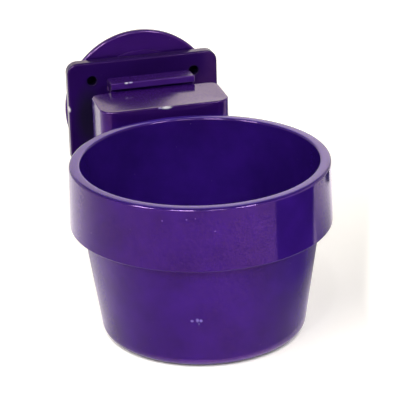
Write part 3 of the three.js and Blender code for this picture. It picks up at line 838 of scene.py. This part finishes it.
paper, tree = new_finish("seamless white paper")
place = node(tree, "ShaderNodeTexCoord").outputs["Object"]
lit = 0.0
for way, deepest, lightest, fade in shade_sides:
    reach = node(tree, "ShaderNodeVectorMath", {0: place, 1: way}, operation="DOT_PRODUCT")
    side = node(tree, "ShaderNodeMapRange", {"Value": reach.outputs["Value"], "From Min": deepest * mm,
                "From Max": lightest * mm}, interpolation_type=fade)
    lit = node(tree, "ShaderNodeMath", {0: lit, 1: side.outputs[0]}, operation="MAXIMUM").outputs[0]
shown = node(tree, "ShaderNodeMapRange", {"Value": lit, "To Min": shaded_glow, "To Max": open_glow})
seen = seeing(tree, node(tree, "ShaderNodeLightPath"))
glow = node(tree, "ShaderNodeMix", {0: seen, 2: lighting_glow, 3: shown.outputs[0]}, data_type="FLOAT")
# Painted contact shadow: the glow dims where the floor lies close under the bowl
closeness = node(tree, "ShaderNodeAmbientOcclusion", {"Distance": contact_shade}, samples=8)
glow = node(tree, "ShaderNodeMath", {0: glow.outputs[0], 1: closeness.outputs["AO"]}, operation="MULTIPLY")
matt = node(tree, "ShaderNodeBsdfDiffuse", {"Color": linear("#E5E5E5")})
bright = node(tree, "ShaderNodeEmission", {"Color": linear("#FFF8ED"), "Strength": glow.outputs[0]})
mixed = node(tree, "ShaderNodeAddShader", {0: matt.outputs[0], 1: bright.outputs[0]})
node(tree, "ShaderNodeOutputMaterial", {"Surface": mixed.outputs[0]})
floor_mesh = bpy.data.meshes.new("floor")
floor_mesh.from_pydata([(-floor_reach, -floor_reach, 0), (floor_reach, -floor_reach, 0),
                        (floor_reach, floor_reach, 0), (-floor_reach, floor_reach, 0)], [], [(0, 1, 2, 3)])
floor_mesh.materials.append(paper)
floor = placed("floor", floor_mesh)

# The cards: sheets on the floor round the bowl that only mirror rays see, like the flags and
# reflectors of a studio. Four graduated ones tone the gloss of the collar, the body's foot, the
# rounded edge under it and the right side, and a black one puts dark bands in the collar's right.

# Tones are pairs of bearing from the front, in degrees, and brightness
collar_tones = ((-160, 1.25), (-140, 1.55), (-118, 1.3), (-97, 0.96), (-60, 0.96), (-30, 0.88), (0, 0.97),
                (22, 1.17), (44, 0.75))
foot_tones = ((-140, 0.8), (-110, 1.15), (-85, 0.9), (-66, 0.77), (-38, 0.66), (0, 0.76), (25, 0.67),
              (44, 0.5), (60, 0.36), (75, 0.3), (95, 0.45), (118, 0.5))
side_tones = ((80, 0.8), (95, 0.85), (106, 1.0), (115, 1.15), (123, 1.5), (140, 1.7))
ring_tones = ((-110, 1.2), (-80, 0.9), (-50, 1.05), (-20, 1.7), (0, 1.9), (30, 1.5), (60, 0.95), (90, 0.8),
              (110, 1.0))
gain_start = math.radians(35)
gain_full = math.radians(80)
flag_outlines = (((118, -130), (300, -275), (332, 23), (160, -29)),
                 ((215, 85), (300, 150), (240, 210), (178, 118)))
flag_height = 0.6 * mm


def card(name, outlines, height):
    """A sheet on the floor that mirror rays alone see, and the tree of its glowing material."""
    mesh = bpy.data.meshes.new(name)
    points = [(x, y, height) for outline in outlines for x, y in outline]
    ends = [sum(map(len, outlines[:i + 1])) for i in range(len(outlines))]
    mesh.from_pydata(points, [], [tuple(range(end - len(outline), end))
                                  for end, outline in zip(ends, outlines)])
    material, tree = new_finish(name)
    mesh.materials.append(material)
    sheet = placed(name, mesh)
    sheet.visible_camera = False
    sheet.visible_diffuse = False
    sheet.visible_shadow = False
    return tree


def sector(inner, outer, start, end):
    """Part of a flat ring round the bowl, between two angles in degrees from +X."""
    return [*arc((0, 0), inner * mm, start, end, 24), *reversed(arc((0, 0), outer * mm, start, end, 24))]


# Each card's brightness follows its tones round the bowl. Towards the right it also gains or loses
# brightness across its width, from one radius in millimetres to another.
for label, height, outline, tones, inner, outer, inner_gain, outer_gain in (
        ("collar card", 0.3 * mm, sector(125, 450, -255, -46), collar_tones, 125, 450, 0.0, 0.0),
        ("foot card", 0.3 * mm, sector(52.5, 125, -255, 40), foot_tones, 54, 96, 0.45, -0.2),
        ("foot ring", 0.1 * mm, sector(47.2, 52.5, -200, 20), ring_tones, 47, 53, 0.0, 0.0),
        ("side card", 0.5 * mm, sector(150, 236, -3, 46), side_tones, 165, 225, -0.35, 0.35)):
    tree = card(label, [outline], height)
    place = node(tree, "ShaderNodeTexCoord").outputs["Object"]
    parts = node(tree, "ShaderNodeSeparateXYZ", {0: place})
    ahead = node(tree, "ShaderNodeMath", {0: parts.outputs["Y"], 1: -1.0}, operation="MULTIPLY")
    bearing = node(tree, "ShaderNodeMath", {0: parts.outputs["X"], 1: ahead.outputs[0]}, operation="ARCTAN2")
    first, last = tones[0][0], tones[-1][0]
    share = node(tree, "ShaderNodeMapRange", {"Value": bearing.outputs[0], "From Min": math.radians(first),
                 "From Max": math.radians(last)})
    brightest = max(tone for _, tone in tones)
    curve = node(tree, "ShaderNodeFloatCurve", {"Value": share.outputs[0]})
    line = curve.mapping.curves[0]
    for stop, (angle_deg, tone) in enumerate(tones):
        at = ((angle_deg - first) / (last - first), tone / brightest)
        if 0 < stop < len(tones) - 1:
            line.points.new(*at)
        else:
            line.points[0 if stop == 0 else -1].location = at
    curve.mapping.update()
    rightward = node(tree, "ShaderNodeMapRange", {"Value": bearing.outputs[0], "From Min": gain_start,
                     "From Max": gain_full})
    outward = node(tree, "ShaderNodeVectorMath", {0: place}, operation="LENGTH")
    gain = node(tree, "ShaderNodeMapRange", {"Value": outward.outputs["Value"], "From Min": inner * mm,
                "From Max": outer * mm, "To Min": inner_gain, "To Max": outer_gain})
    added = node(tree, "ShaderNodeMath", {0: rightward.outputs[0], 1: gain.outputs[0]}, operation="MULTIPLY")
    toned = node(tree, "ShaderNodeMath", {0: curve.outputs[0], 1: brightest, 2: added.outputs[0]},
                 operation="MULTIPLY_ADD")
    glow = node(tree, "ShaderNodeEmission", {"Color": linear("#FFF7FA"), "Strength": toned.outputs[0]})
    node(tree, "ShaderNodeOutputMaterial", {"Surface": glow.outputs[0]})

tree = card("black flag", [[(x * mm, y * mm) for x, y in outline] for outline in flag_outlines], flag_height)
black = node(tree, "ShaderNodeEmission", {"Color": (1, 1, 1, 1), "Strength": 0.0})
node(tree, "ShaderNodeOutputMaterial", {"Surface": black.outputs[0]})

# The light: three strip softboxes in front, at the left, the middle and the right, which the gloss
# doesn't mirror, a broad one low behind that it does, and a snooted lamp over the bowl.
aim = Vector((0, 0.03, 0.05))
snoot_place = Vector((-0.08, -0.3, 0.62))

# Each by its bearing from the front, rise, distance and size. The gleams are what the edges mirror of
# the front softboxes, through a pale green gel that offsets the violet of the plastic's gloss.
for label, bearing_deg, rise_deg, distance, size, radiance, gel, lights, gleams in (
        ("left softbox", -64, 35, 1.3, (0.41, 0.06), 25, "#FFFFFF", True, False),
        ("middle softbox", -32.5, 35, 1.3, (0.41, 0.06), 25, "#FFFFFF", True, False),
        ("right softbox", 14.6, 35, 1.3, (0.95, 0.06), 25, "#FFFFFF", True, False),
        ("back softbox", 166, 20, 1.4, (1.5, 0.46), 0.95, "#FFF0E4", True, True),
        ("left gleam", -67, 38, 1.3, (0.37, 0.35), 56, "#C6F2CC", False, True),
        ("middle gleam", -30.5, 38, 1.3, (0.37, 0.35), 56, "#C6F2CC", False, True),
        ("front gleam", 1, 38, 1.3, (0.3, 0.35), 20, "#C6F2CC", False, True),
        ("right gleam", 28.7, 38, 1.3, (0.29, 0.35), 56, "#C6F2CC", False, True)):
    lean = math.radians(bearing_deg)
    rise = math.radians(rise_deg)
    lamp = bpy.data.lights.new(label, "AREA")
    lamp.shape = "RECTANGLE"
    lamp.size, lamp.size_y = size
    lamp.energy = math.pi * size[0] * size[1] * radiance
    lamp.color = linear(gel)[:3]
    box = placed(label, lamp)
    out = Vector((math.sin(lean) * math.cos(rise), -math.cos(lean) * math.cos(rise), math.sin(rise)))
    box.location = aim + distance * out
    box.rotation_euler = out.to_track_quat("Z", "Y").to_euler()
    box.visible_camera = False
    box.visible_diffuse = lights
    box.visible_glossy = gleams
lamp = bpy.data.lights.new("snooted lamp", "SPOT")
lamp.energy = 6
lamp.spot_size = math.radians(9)
lamp.spot_blend = 0.6
lamp.shadow_soft_size = 0.04
snoot = placed("snooted lamp", lamp)
snoot.location = snoot_place
snoot.rotation_euler = (snoot.location - Vector((0, 0, rim_height))).to_track_quat("Z", "Y").to_euler()
snoot.visible_glossy = False

# The room: white all round for the camera, and even in the light it gives. What the gloss mirrors
# of it has a dimmer ceiling, and a dimmer patch of wall behind, for the lip and the hanger's top.
ceiling_start = math.sin(math.radians(27))
ceiling_full = math.sin(math.radians(33))
ceiling_glow = 0.32
patch_middle = (0.033, 0.933, 0.358)
patch_reach = math.radians(9.5)
patch_fade = math.radians(13)
patch_glow = 0.5
room_light = 0.3
world = bpy.data.worlds.new("white room")
bpy.context.scene.world = world
world.use_nodes = True
tree = world.node_tree
tree.nodes.clear()
rays = node(tree, "ShaderNodeLightPath")
seen = seeing(tree, rays)
direction = node(tree, "ShaderNodeTexCoord").outputs["Generated"]
climb = node(tree, "ShaderNodeSeparateXYZ", {0: direction})
ceiling = node(tree, "ShaderNodeMapRange", {"Value": climb.outputs["Z"], "From Min": ceiling_start,
               "From Max": ceiling_full, "To Min": 1.0, "To Max": ceiling_glow})
from_patch = node(tree, "ShaderNodeVectorMath", {0: direction, 1: patch_middle}, operation="DISTANCE")
patch = node(tree, "ShaderNodeMapRange", {"Value": from_patch.outputs["Value"], "From Min": patch_reach,
             "From Max": patch_fade, "To Min": patch_glow})
wall = node(tree, "ShaderNodeMath", {0: ceiling.outputs[0], 1: patch.outputs[0]}, operation="MULTIPLY")
shown = node(tree, "ShaderNodeMath", {0: wall.outputs[0], 1: rays.outputs["Is Camera Ray"]},
             operation="MAXIMUM")
strength = node(tree, "ShaderNodeMix", {0: seen, 2: room_light, 3: shown.outputs[0]}, data_type="FLOAT")
air = node(tree, "ShaderNodeBackground", {"Color": (1, 1, 1, 1), "Strength": strength.outputs[0]})
node(tree, "ShaderNodeOutputWorld", {"Surface": air.outputs[0]})

# The camera: a long lens from the front, a little to the left and above, as the photograph shows
view_azimuth = math.radians(-13.82)
view_elevation = math.radians(22.34)
view_roll = math.radians(-1.59)
view_distance = 921.66 * mm
view_height = 62.72 * mm
view_left = 0.44 * mm
view_down = 0.25 * mm
towards = Vector((math.sin(view_azimuth) * math.cos(view_elevation),
                  -math.cos(view_azimuth) * math.cos(view_elevation), math.sin(view_elevation)))
across = Vector((math.cos(view_azimuth), math.sin(view_azimuth), 0))
upward = towards.cross(across)
right = across * math.cos(view_roll) + upward * math.sin(view_roll)
up = upward * math.cos(view_roll) - across * math.sin(view_roll)
view_centre = Vector((0, 0, view_height)) - right * view_left - up * view_down
lens = bpy.data.cameras.new("camera")
lens.sensor_width = 36
lens.lens = 180
camera = placed("camera", lens)
camera.matrix_world = (Matrix.Translation(view_centre + towards * view_distance)
                       @ Matrix((right, up, towards)).transposed().to_4x4())
bpy.context.scene.camera = camera
bpy.context.scene.view_settings.view_transform = "Standard"
